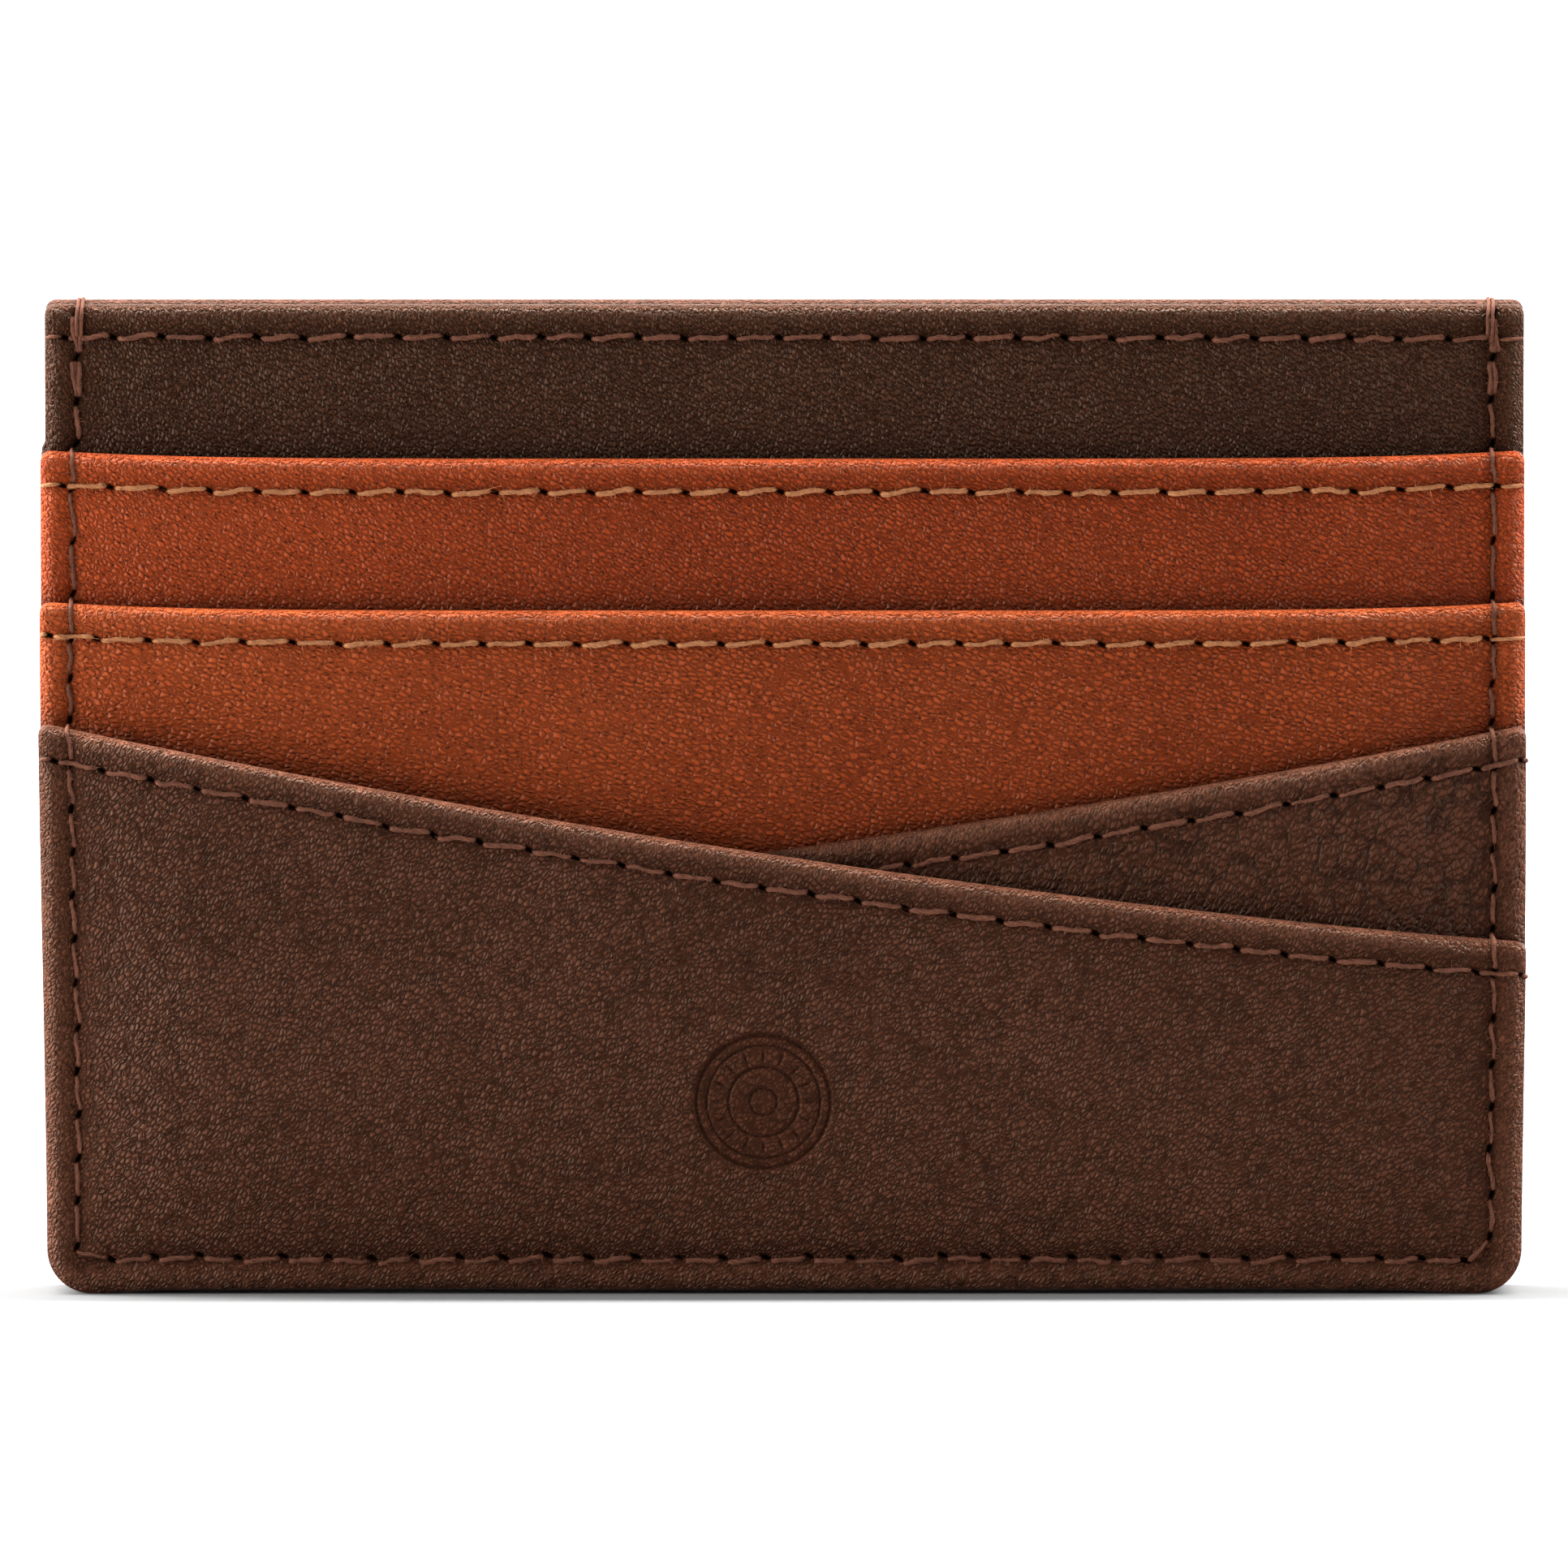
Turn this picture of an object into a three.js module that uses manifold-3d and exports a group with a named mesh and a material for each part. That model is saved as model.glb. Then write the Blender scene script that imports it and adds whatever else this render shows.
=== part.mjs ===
import * as THREE from 'three';
import { mergeVertices } from 'three/addons/utils/BufferGeometryUtils.js';
import Module from 'manifold-3d';

// A slim leather card holder, standing on its long bottom edge. Millimetres, +Z up, front towards -Y.
// The origin is the middle of the bottom edge.

// Outline
const WIDTH = 100;
const BACK_HEIGHT = 67;
const PANEL_HEIGHT = 66.7;
const CORNER_RADIUS = 3;
const CORNER_SEGMENTS = 4;

// Card pockets take an ID-1 card of 85.6 x 54 x 0.76.
const POCKET_ROOM = 0.8;
const OUTER_LEATHER = 0.6;
const SLOT_LEATHER = 0.5;
const CLOTH = 0.1;
const HEM_WIDTH = 4.5;
const TURNED_MOUTH = 8;
const FOLD_SETBACK = 0.4;

// Mouths of the two straight slots, which lift a little at their ends
const UPPER_SLOT_MOUTH = 56.3;
const LOWER_SLOT_MOUTH = 46.1;
const SLOT_END_LIFT = 0.55;

// Mouths of the two slanting pockets: height at the middle, slope, and sag
const FRONT_POCKET_MOUTH = { middle: 29.64, slope: -0.1484, sag: 0.000624 };
const ANGLED_POCKET_MOUTH = { middle: 30, slope: 0.14, sag: 0.00055 };
const MOUTH_STEPS = 12;

// The upper slot's card stands on this bar, so that it shows above the slot
const STOP_TOP = 13;
const STOP_WIDTH = 3.5;

// Seams
const SIDE_MARGIN = 2.2;
const FOOT_MARGIN = 2.3;
const SEAM_CORNER = 0.8;
const SEAM_TOP = 65.2;
const MOUTH_MARGIN = 2.1;
const STITCH = 3.2;
const STITCH_RAMP = 0.35;
const THREAD_WIDTH = 0.4;
const THREAD_HIGH = 0.25;
const THREAD_LOW = 0.08;
const THREAD_CLEAR = 0.05;
const SEAM_END = 46.9;
const HIDDEN_SEAM_END = 45.2;

const wasm = await Module();
wasm.setup();

const LEATHER = { roughness: 0.55, metalness: 0 };
const FABRIC = { roughness: 0.9, metalness: 0 };
const darkLeather = () => new THREE.MeshStandardMaterial({ ...LEATHER, color: 0x482b21 });
const tanLeather = () => new THREE.MeshStandardMaterial({ ...LEATHER, color: 0x8f4f2e });
const cloth = () => new THREE.MeshStandardMaterial({ ...FABRIC, color: 0x3a241c });
const brownThread = () => new THREE.MeshStandardMaterial({ ...FABRIC, color: 0x7a5242 });
const tanThread = () => new THREE.MeshStandardMaterial({ ...FABRIC, color: 0xb67a52 });

const card = new THREE.Group();

function add(name, geometry, material) {
  const mesh = new THREE.Mesh(geometry, material);
  mesh.name = name;
  card.add(mesh);
}

// --- Solids ---

function solidOf(geometry) {
  const bare = geometry.clone();
  bare.deleteAttribute('normal');
  bare.deleteAttribute('uv');
  const merged = mergeVertices(bare);
  const vertProperties = new Float32Array(merged.attributes.position.array);
  const triVerts = new Uint32Array(merged.index.array);
  return new wasm.Manifold(new wasm.Mesh({ numProp: 3, vertProperties, triVerts }));
}

function geometryOf(solid) {
  const { vertProperties, triVerts } = solid.getMesh();
  const geometry = new THREE.BufferGeometry();
  geometry.setAttribute('position', new THREE.BufferAttribute(vertProperties, 3));
  geometry.setIndex(new THREE.BufferAttribute(triVerts, 1));
  geometry.computeVertexNormals();
  return geometry;
}

const join = (a, b) => geometryOf(solidOf(a).add(solidOf(b)));

// An upright sheet: the shape is drawn in X and Z and reaches back from the front face.
function sheet(shape, front, thickness) {
  const options = { depth: thickness, bevelEnabled: false, curveSegments: CORNER_SEGMENTS };
  const geometry = new THREE.ExtrudeGeometry(shape, options);
  geometry.rotateX(Math.PI / 2);
  geometry.translate(0, front + thickness, 0);
  return geometry;
}

// A sheet whose mouth is turned in over its cloth.
function foldedSheet(mouth, front, leather) {
  const band = sheet(mouthBand(mouth), front + leather / 2, leather / 2 + CLOTH);
  return join(sheet(pocketOutline(mouth), front, leather), band);
}

// --- Outlines ---

const straight = (height) => () => height;
const lifted = (height) => (x) => height + SLOT_END_LIFT * (x / (WIDTH / 2)) ** 6;
const slanting = ({ middle, slope, sag }) => (x) => middle + slope * x + sag * x * x;
const below = (mouth, drop) => (x) => mouth(x) - drop;

function mouthLine(shape, mouth, from, to) {
  for (let i = 0; i <= MOUTH_STEPS; i += 1) {
    const x = from + ((to - from) * i) / MOUTH_STEPS;
    shape.lineTo(x, mouth(x));
  }
}

// The whole sheet of a pocket, from the foot with its round corners up to the mouth.
function pocketOutline(mouth) {
  const half = WIDTH / 2;
  const inner = half - CORNER_RADIUS;
  const shape = new THREE.Shape();
  shape.moveTo(-inner, 0);
  shape.lineTo(inner, 0);
  shape.absarc(inner, CORNER_RADIUS, CORNER_RADIUS, -Math.PI / 2, 0);
  mouthLine(shape, mouth, half, -half);
  shape.absarc(-inner, CORNER_RADIUS, CORNER_RADIUS, Math.PI, 1.5 * Math.PI);
  return shape;
}

// The strip of a sheet that is turned in at its mouth, between the side hems.
function mouthBand(mouth) {
  const half = WIDTH / 2 - HEM_WIDTH;
  const shape = new THREE.Shape();
  shape.moveTo(-half, mouth(-half) - TURNED_MOUTH);
  mouthLine(shape, below(mouth, TURNED_MOUTH), -half, half);
  mouthLine(shape, below(mouth, FOLD_SETBACK), half, -half);
  return shape;
}

// The cloth behind a sheet, between the side hems and under the turned mouth.
function clothOutline(mouth, floor = HEM_WIDTH) {
  const half = WIDTH / 2 - HEM_WIDTH;
  const shape = new THREE.Shape();
  shape.moveTo(-half, floor);
  shape.lineTo(half, floor);
  mouthLine(shape, below(mouth, TURNED_MOUTH), half, -half);
  return shape;
}

// The U of leather that is turned in along the sides and the foot.
function hemOutline(mouth, floor = HEM_WIDTH) {
  const half = WIDTH / 2;
  const inner = half - CORNER_RADIUS;
  const room = half - HEM_WIDTH;
  const shape = new THREE.Shape();
  shape.moveTo(-inner, 0);
  shape.lineTo(inner, 0);
  shape.absarc(inner, CORNER_RADIUS, CORNER_RADIUS, -Math.PI / 2, 0);
  shape.lineTo(half, mouth(half));
  shape.lineTo(room, mouth(room));
  shape.lineTo(room, floor);
  shape.lineTo(-room, floor);
  shape.lineTo(-room, mouth(-room));
  shape.lineTo(-half, mouth(-half));
  shape.absarc(-inner, CORNER_RADIUS, CORNER_RADIUS, Math.PI, 1.5 * Math.PI);
  return shape;
}

// The upper slot's hem has a bar across it that the card stands on.
function stoppedHemOutline(mouth) {
  const room = WIDTH / 2 - HEM_WIDTH;
  const shape = hemOutline(mouth, STOP_TOP);
  const window = new THREE.Path();
  window.moveTo(-room, HEM_WIDTH);
  window.lineTo(-room, STOP_TOP - STOP_WIDTH);
  window.lineTo(room, STOP_TOP - STOP_WIDTH);
  window.lineTo(room, HEM_WIDTH);
  shape.holes.push(window);
  return shape;
}

// --- Seams ---

// Where the needle goes through, evenly from one fixed hole to the next.
function needleHoles(fixed) {
  const holes = [fixed[0]];
  for (let i = 1; i < fixed.length; i += 1) {
    const gap = fixed[i] - fixed[i - 1];
    const count = Math.max(1, Math.round(gap / STITCH));
    for (let k = 1; k <= count; k += 1) {
      holes.push(fixed[i - 1] + (gap * k) / count);
    }
  }
  return holes;
}

// A running stitch laid out straight, as the cuts through it: one low arch for each stitch, over a floor
// that drops or rises where the seam crosses the mouth of a layer.
function stitchCuts(length, level, steps) {
  const fixed = [0, ...steps.flatMap(({ at }) => [at - STITCH / 2, at + STITCH / 2]), length];
  const holes = needleHoles(fixed);
  const cuts = [];
  const cut = (at, floor, high, lean = 0) => {
    cuts.push({ under: [at, floor], over: [at + lean, floor + high] });
  };
  let floor = level;
  cut(0, floor, THREAD_LOW);
  for (let i = 1; i < holes.length; i += 1) {
    const step = steps.find(({ at }) => at > holes[i - 1] && at < holes[i]);
    cut(holes[i - 1] + STITCH_RAMP, floor, THREAD_HIGH);
    if (step) {
      const lean = Math.sign(step.from - step.to) * THREAD_HIGH;
      cut(step.at, step.from, THREAD_HIGH, lean);
      cut(step.at, step.to, THREAD_HIGH, lean);
      floor = step.to;
    }
    cut(holes[i] - STITCH_RAMP, floor, THREAD_HIGH);
    cut(holes[i], floor, THREAD_LOW);
  }
  return cuts;
}

// The thread laid along a path in X and Z, on the face that looks to -Y (side -1) or +Y (+1).
function seam(path, side, level, steps = []) {
  const length = path.getLength();
  const corner = ([at, height], across) => {
    const along = THREE.MathUtils.clamp(at / length, 0, 1);
    const point = path.getPointAt(along);
    const ahead = path.getTangentAt(along);
    return [point.x - side * ahead.y * across, side * height, point.y + side * ahead.x * across];
  };
  const cuts = stitchCuts(length, level, steps);
  const half = THREAD_WIDTH / 2;
  const positions = cuts.flatMap(({ under, over }) => [
    ...corner(under, -half),
    ...corner(under, half),
    ...corner(over, half),
    ...corner(over, -half),
  ]);
  const faces = [0, 1, 2, 0, 2, 3];
  for (let ring = 0; ring < 4 * (cuts.length - 1); ring += 4) {
    for (let k = 0; k < 4; k += 1) {
      const a = ring + k;
      const b = ring + ((k + 1) % 4);
      faces.push(a, a + 4, b + 4, a, b + 4, b);
    }
  }
  const end = 4 * (cuts.length - 1);
  faces.push(end, end + 2, end + 1, end, end + 3, end + 2);
  const geometry = new THREE.BufferGeometry();
  geometry.setAttribute('position', new THREE.Float32BufferAttribute(positions, 3));
  geometry.setIndex(faces);
  geometry.computeVertexNormals();
  return geometry;
}

function mouthPath(mouth, from, to) {
  const points = [];
  for (let i = 0; i <= MOUTH_STEPS; i += 1) {
    const x = from + ((to - from) * i) / MOUTH_STEPS;
    points.push(new THREE.Vector2(x, mouth(x) - MOUTH_MARGIN));
  }
  return new THREE.SplineCurve(points);
}

// Down the left side, along the foot and up the right side.
function perimeterPath() {
  const side = WIDTH / 2 - SIDE_MARGIN;
  const low = FOOT_MARGIN + SEAM_CORNER;
  const turn = side - SEAM_CORNER;
  const path = new THREE.Path();
  path.moveTo(-side, SEAM_TOP);
  path.lineTo(-side, low);
  path.absarc(-turn, low, SEAM_CORNER, Math.PI, 1.5 * Math.PI);
  path.lineTo(turn, FOOT_MARGIN);
  path.absarc(turn, low, SEAM_CORNER, 1.5 * Math.PI, 2 * Math.PI);
  path.lineTo(side, SEAM_TOP);
  return path;
}

// --- The stack of layers, from the front to the back ---

const layers = [
  { name: 'front_pocket', leather: OUTER_LEATHER, mouth: slanting(FRONT_POCKET_MOUTH) },
  { name: 'angled_pocket', leather: SLOT_LEATHER, mouth: slanting(ANGLED_POCKET_MOUTH) },
  { name: 'lower_slot', leather: SLOT_LEATHER, lined: true, mouth: lifted(LOWER_SLOT_MOUTH) },
  { name: 'upper_slot', leather: SLOT_LEATHER, lined: true, mouth: lifted(UPPER_SLOT_MOUTH) },
  { name: 'front_panel', leather: OUTER_LEATHER, lined: true, mouth: straight(PANEL_HEIGHT) },
];
const thicknessOf = ({ leather, lined }) => leather + (lined ? CLOTH : 0);
const backThickness = OUTER_LEATHER + CLOTH;
const frontStack = layers.reduce((sum, layer) => sum + thicknessOf(layer) + POCKET_ROOM, 0);
const THICKNESS = frontStack + backThickness;

let depth = -THICKNESS / 2;
for (const layer of layers) {
  layer.front = depth;
  depth += thicknessOf(layer) + POCKET_ROOM;
}
const backFront = depth;

const isTan = (name) => name.endsWith('slot');
const hemNameOf = { front_panel: 'center_pocket_hem' };
const faceNameOf = { front_panel: 'front_panel' };
const hiddenLeftOf = { angled_pocket: true };

for (const layer of layers) {
  const { name, leather, lined, mouth, front } = layer;
  const skin = isTan(name) ? tanLeather : darkLeather;
  const thread = isTan(name) ? tanThread : brownThread;
  const plain = () => sheet(pocketOutline(mouth), front, leather);
  const face = lined ? foldedSheet(mouth, front, leather) : plain();
  add(faceNameOf[name] ?? `${name}_face`, face, skin());
  const stopped = name === 'upper_slot';
  if (lined) {
    const lining = clothOutline(mouth, stopped ? STOP_TOP : HEM_WIDTH);
    add(`${name}_lining`, sheet(lining, front + leather, CLOTH), cloth());
  }
  const hem = stopped ? stoppedHemOutline(mouth) : hemOutline(mouth);
  const room = sheet(hem, front + leather, thicknessOf(layer) - leather + POCKET_ROOM);
  add(hemNameOf[name] ?? `${name}_hem`, room, skin());
  const left = hiddenLeftOf[name] ? HIDDEN_SEAM_END : SEAM_END;
  add(`${name}_topstitch`, seam(mouthPath(mouth, -left, SEAM_END), -1, -front), thread());
}

// The hidden seam that holds the upper slot's bar
const upperSlot = layers.find(({ name }) => name === 'upper_slot');
const stopSeam = straight(STOP_TOP - STOP_WIDTH / 2 + MOUTH_MARGIN);
const stopPath = mouthPath(stopSeam, -HIDDEN_SEAM_END, HIDDEN_SEAM_END);
add('upper_slot_stop_stitch', seam(stopPath, -1, -upperSlot.front), brownThread());

// The back panel, its cloth towards the centre pocket
const backMouth = straight(BACK_HEIGHT);
const backSkin = sheet(pocketOutline(backMouth), backFront + CLOTH, OUTER_LEATHER);
const backBand = sheet(mouthBand(backMouth), backFront, OUTER_LEATHER / 2 + CLOTH);
add('back_panel', join(backSkin, backBand), darkLeather());
add('back_panel_lining', sheet(clothOutline(backMouth), backFront, CLOTH), cloth());
const backPath = mouthPath(backMouth, -SEAM_END, SEAM_END);
add('back_panel_topstitch', seam(backPath, 1, THICKNESS / 2), brownThread());

// The seam through all the layers. On the front it steps down at the mouth of each layer.
const perimeter = perimeterPath();
const seamLength = perimeter.getLength();

function stepsAlong(x) {
  const shown = layers.filter((layer, i) => {
    const nearer = layers.slice(0, i);
    return nearer.every(({ mouth }) => mouth(x) < layer.mouth(x));
  });
  return shown.slice(0, -1).map((layer, i) => ({
    height: layer.mouth(x) + THREAD_CLEAR,
    low: -layer.front,
    high: -shown[i + 1].front,
  }));
}

const seamSide = WIDTH / 2 - SIDE_MARGIN;
const downLeft = stepsAlong(-seamSide).reverse();
const upRight = stepsAlong(seamSide);
const frontSteps = [
  ...downLeft.map(({ height, low, high }) => ({ at: SEAM_TOP - height, from: high, to: low })),
  ...upRight.map(({ height, low, high }) => ({
    at: seamLength - SEAM_TOP + height,
    from: low,
    to: high,
  })),
];
const panel = layers.at(-1);
add('perimeter_stitch_front', seam(perimeter, -1, -panel.front, frontSteps), brownThread());
add('perimeter_stitch_back', seam(perimeter, 1, THICKNESS / 2), brownThread());

export default card;
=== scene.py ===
import math

import bpy
import numpy as np
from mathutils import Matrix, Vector
from mathutils.geometry import delaunay_2d_cdt


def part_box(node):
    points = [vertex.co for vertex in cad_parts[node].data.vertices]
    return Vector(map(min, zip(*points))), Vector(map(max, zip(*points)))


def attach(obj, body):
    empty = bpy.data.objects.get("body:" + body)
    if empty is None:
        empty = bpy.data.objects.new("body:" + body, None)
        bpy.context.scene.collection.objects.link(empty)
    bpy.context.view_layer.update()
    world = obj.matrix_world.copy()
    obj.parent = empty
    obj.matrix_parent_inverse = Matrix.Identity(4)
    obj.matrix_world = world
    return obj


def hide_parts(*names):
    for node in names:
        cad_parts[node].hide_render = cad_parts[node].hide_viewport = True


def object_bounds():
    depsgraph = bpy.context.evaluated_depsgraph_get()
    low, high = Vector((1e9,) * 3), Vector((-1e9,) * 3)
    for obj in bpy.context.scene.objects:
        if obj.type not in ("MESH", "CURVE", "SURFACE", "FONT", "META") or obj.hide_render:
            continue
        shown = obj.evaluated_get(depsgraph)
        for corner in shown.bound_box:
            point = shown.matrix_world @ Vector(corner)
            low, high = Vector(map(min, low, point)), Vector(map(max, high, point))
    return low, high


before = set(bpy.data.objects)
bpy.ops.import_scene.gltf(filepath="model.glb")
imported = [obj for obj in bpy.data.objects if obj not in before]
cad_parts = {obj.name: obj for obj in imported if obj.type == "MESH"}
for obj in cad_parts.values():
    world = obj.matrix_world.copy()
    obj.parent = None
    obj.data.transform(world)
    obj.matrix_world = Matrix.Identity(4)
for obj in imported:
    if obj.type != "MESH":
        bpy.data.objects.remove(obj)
cad_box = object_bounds()

# A leather card holder. Its pieces are worked out in millimetres; meshes and the stage are in metres.
MM = 0.001

# Seams
SIDE_SEAM = 2.2  # from the side edges
FOOT_SEAM = 2.3
SEAM_CORNER = 0.8
MOUTH_SEAM = 2.25  # below each mouth
MOUTH_LINE_PAST = 0.3
STITCH = 3.22
PERIMETER_STITCH = 2.95
HOLE_BY_MOUTH = 0.55  # from a mouth that the perimeter seam crosses to its next hole
THREAD_RADIUS = 0.148
SLIT_HALF_LENGTH = 0.32
SLIT_HALF_WIDTH = 0.1
SLIT_TURN = math.radians(-21)  # a needle slit against its seam
SLIT_REACH = 0.3  # from the middle of a slit to where the thread goes in
PIT_DEPTH = 0.6  # of a slit
PUCKER_DEPTH, PUCKER_REACH = 0.07, 0.7  # of the leather drawn in round a slit

# Leather
CORNER = 3.0
MOUTH_CORNER = 0.7
SKIN = 0.6  # one thickness
TURNED = 1.1  # folded over at a mouth
TURNED_DEPTH = 8.0
HEM = 4.5
CLOTH = 0.1
LINING_GAP = 0.02
LINING_IN = 0.2  # from the cloth's edges to the hems
STOP_TOP = 13.0  # the bar in the UPPER_SLOT slot that a card stands on
STOP_WIDTH = 3.5
STOP_REACH = 45.2  # from the middle to each end of the bar's row of stitches
SIDE_ROUND = 1.0
MOUTH_ROUND = 0.38
BELLY_SIDE, BELLY_FOOT = 10, 9  # over how far a bow rises from the side and foot seams
SIDE_DENT, SIDE_DENT_REACH = 0.2, 0.55  # along the seam through all the layers
MOUTH_DENT, MOUTH_DENT_REACH = 0.13, 0.45  # along the top stitch
ROLL, ROLL_AT, ROLL_REACH = 0.1, 1.0, 1.1  # between a stitched edge and its seam
UNEVEN = 0.07
BUMP = 0.1  # the depth of the deepest grain
SHADOW_REACH, SHADOW_LINE = 1.6, 0.3  # of the wide and the narrow painted shadow above a mouth, under the lip of the sheet in front
TALLEST = 70  # above the highest mouth
NUDGE = 0.01  # for slopes


# --- Small numeric helpers ---

def smooth(t):
    t = np.clip(t, 0, 1)
    return t * t * (3 - 2 * t)


def ease(t):
    """Rises steeply from 0 and levels out at 1."""
    t = np.clip(t, 0, 1)
    return 1 - (1 - t) ** 2


def waves(seed, shortest, longest, count=14):
    """A smooth, repeatable random function of x and z with values around -1 to 1."""
    rng = np.random.default_rng(seed)
    length = np.exp(rng.uniform(math.log(shortest), math.log(longest), count))
    turn = rng.uniform(0, math.pi, count)
    phase = rng.uniform(0, 2 * math.pi, count)
    size = (length / longest) ** 0.5
    size = size / np.sqrt((size ** 2).sum())
    kx, kz = 2 * math.pi / length * np.cos(turn), 2 * math.pi / length * np.sin(turn)

    def at(x, z):
        x, z = np.asarray(x, float)[..., None], np.asarray(z, float)[..., None]
        return (size * np.sin(kx * x + kz * z + phase)).sum(-1)

    return at


def left_of(ways):
    """Directions turned a quarter turn to the left."""
    return np.stack([-ways[..., 1], ways[..., 0]], -1)


def unit(vectors):
    return vectors / np.linalg.norm(vectors, axis=-1, keepdims=True)


def along(points):
    """The distance of each point of a polyline from its start."""
    step = np.hypot(*np.diff(points, axis=0).T)
    return np.concatenate([[0], np.cumsum(step)])


def resample(points, spacing):
    points = np.asarray(points, float)
    s = along(points)
    at = np.linspace(0, s[-1], max(2, round(s[-1] / spacing) + 1))
    return np.stack([np.interp(at, s, points[:, k]) for k in range(2)], 1)


def thinned(points, gap):
    """The points without those that share a small cell with an earlier one."""
    cell = np.round(points / gap).astype(int)
    _, first = np.unique(cell, axis=0, return_index=True)
    return points[np.sort(first)]


# --- The stack of layers, read from the frame ---

def mouth_of(node):
    """The height of a sheet's mouth over x, from the front face of its own solid."""
    co = np.array([v.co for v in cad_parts[node].data.vertices]) / MM
    front = co[np.abs(co[:, 1] - co[:, 1].min()) < 0.01]
    if node == "back_panel":
        front = co[np.abs(co[:, 1] - co[:, 1].max()) < 0.01]
    top = front[front[:, 2] > CORNER + 1]
    _, first = np.unique(np.round(top[:, 0], 2), return_index=True)
    top = top[first]
    fit = np.polyfit(top[:, 0] / 50, top[:, 2], 6)
    return lambda x: np.polyval(fit, np.asarray(x, float) / 50)


class Layer:
    """One sheet of the stack: where it lies, its mouth, and how far it bows out."""

    def __init__(self, name, face, hem, bow, seed, facing=-1):
        low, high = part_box(face)
        self.name, self.face, self.hem = name, face, hem
        self.mouth = mouth_of(face)
        self.front = low.y / MM if facing < 0 else high.y / MM
        self.facing = facing
        self.bow, self.seed = bow, seed
        self.half = high.x / MM
        self.uneven = waves(seed, 5, 30)

    def mouth_at(self, x):
        return self.mouth(np.clip(x, -HALF, HALF))

    def slope_at(self, x):
        x = np.clip(x, -HALF, HALF)
        return (self.mouth(x + NUDGE) - self.mouth(x - NUDGE)) / (2 * NUDGE)


LAYERS = [
    Layer("front_pocket", "front_pocket_face", "front_pocket_hem", 1.15, 1),
    Layer("angled_pocket", "angled_pocket_face", "angled_pocket_hem", 1.0, 2),
    Layer("lower_slot", "lower_slot_face", "lower_slot_hem", 0.85, 3),
    Layer("upper_slot", "upper_slot_face", "upper_slot_hem", 0.7, 4),
    Layer("front_panel", "front_panel", "center_pocket_hem", 0.5, 5),
]
BACK = Layer("back_panel", "back_panel", None, 0.35, 6, facing=1)
SHEETS = [*LAYERS, BACK]
HALF = LAYERS[0].half
SEAM_X = HALF - SIDE_SEAM
MIDDLE_SPLIT = (LAYERS[-1].front + BACK.front) / 2
BETWEEN = 0.04  # air between the hems of neighbouring layers
for layer, behind in zip(LAYERS, LAYERS[1:]):
    layer.depth = behind.front - layer.front - BETWEEN
LAYERS[-1].depth = MIDDLE_SPLIT - LAYERS[-1].front - BETWEEN / 2
BACK.depth = BACK.front - MIDDLE_SPLIT - BETWEEN / 2


def outline_of(mouth, spacing=0.45):
    """The closed outline of a sheet, anticlockwise seen from the front, starting at the foot."""
    inner = HALF - CORNER

    def arc(cx, cz, radius, start, end, count):
        turn = np.radians(np.linspace(start, end, count))
        return np.stack([cx + radius * np.cos(turn), cz + radius * np.sin(turn)], 1)

    r = MOUTH_CORNER
    x = np.linspace(HALF - r, r - HALF, 200)
    right, left = float(mouth(HALF - r)), float(mouth(r - HALF))
    parts = [
        resample([[-inner, 0], [inner, 0]], spacing),
        arc(inner, CORNER, CORNER, -90, 0, 14),
        resample([[HALF, CORNER], [HALF, right - r]], spacing),
        arc(HALF - r, right - r, r, 0, 90, 6),
        resample(np.stack([x, mouth(x)], 1), spacing),
        arc(r - HALF, left - r, r, 90, 180, 6),
        resample([[-HALF, left - r], [-HALF, CORNER]], spacing),
        arc(-inner, CORNER, CORNER, 180, 270, 14),
    ]
    points = np.concatenate(parts)
    keep = np.hypot(*(points - np.roll(points, 1, 0)).T) > 1e-4
    return points[keep]


def perimeter_line():
    """The seam through all the layers: down the left side, along the foot, up the right side."""
    turn, low = SEAM_X - SEAM_CORNER, FOOT_SEAM + SEAM_CORNER
    top = float(LAYERS[-1].mouth(0)) - 0.5
    left = np.radians(np.linspace(180, 270, 8))
    right = np.radians(np.linspace(270, 360, 8))
    corner = [
        np.stack([s * turn + SEAM_CORNER * np.cos(t), low + SEAM_CORNER * np.sin(t)], 1)
        for s, t in ((-1, left), (1, right))
    ]
    return np.concatenate([[[-SEAM_X, top]], *corner, [[SEAM_X, top]]])


def mouth_line(layer):
    """The line of a mouth's top stitch, from just past one side to just past the other."""
    x = np.linspace(-HALF - MOUTH_LINE_PAST, HALF + MOUTH_LINE_PAST, 240)
    drop = MOUTH_SEAM * np.sqrt(1 + layer.slope_at(x) ** 2)
    return np.stack([x, layer.mouth_at(x) - drop], 1)


def point_on(line, s):
    """The points, and the directions of the line, at those distances along it."""
    total = along(line)
    s = np.clip(np.asarray(s, float), 0, total[-1])
    p = np.stack([np.interp(s, total, line[:, k]) for k in range(2)], -1)
    q = np.stack([np.interp(s + 0.05, total, line[:, k]) for k in range(2)], -1)
    o = np.stack([np.interp(s - 0.05, total, line[:, k]) for k in range(2)], -1)
    return p, unit(q - o)


def turned(vectors, angle):
    c, s = np.cos(angle), np.sin(angle)
    return np.stack([vectors[..., 0] * c - vectors[..., 1] * s,
                     vectors[..., 0] * s + vectors[..., 1] * c], -1)


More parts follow.
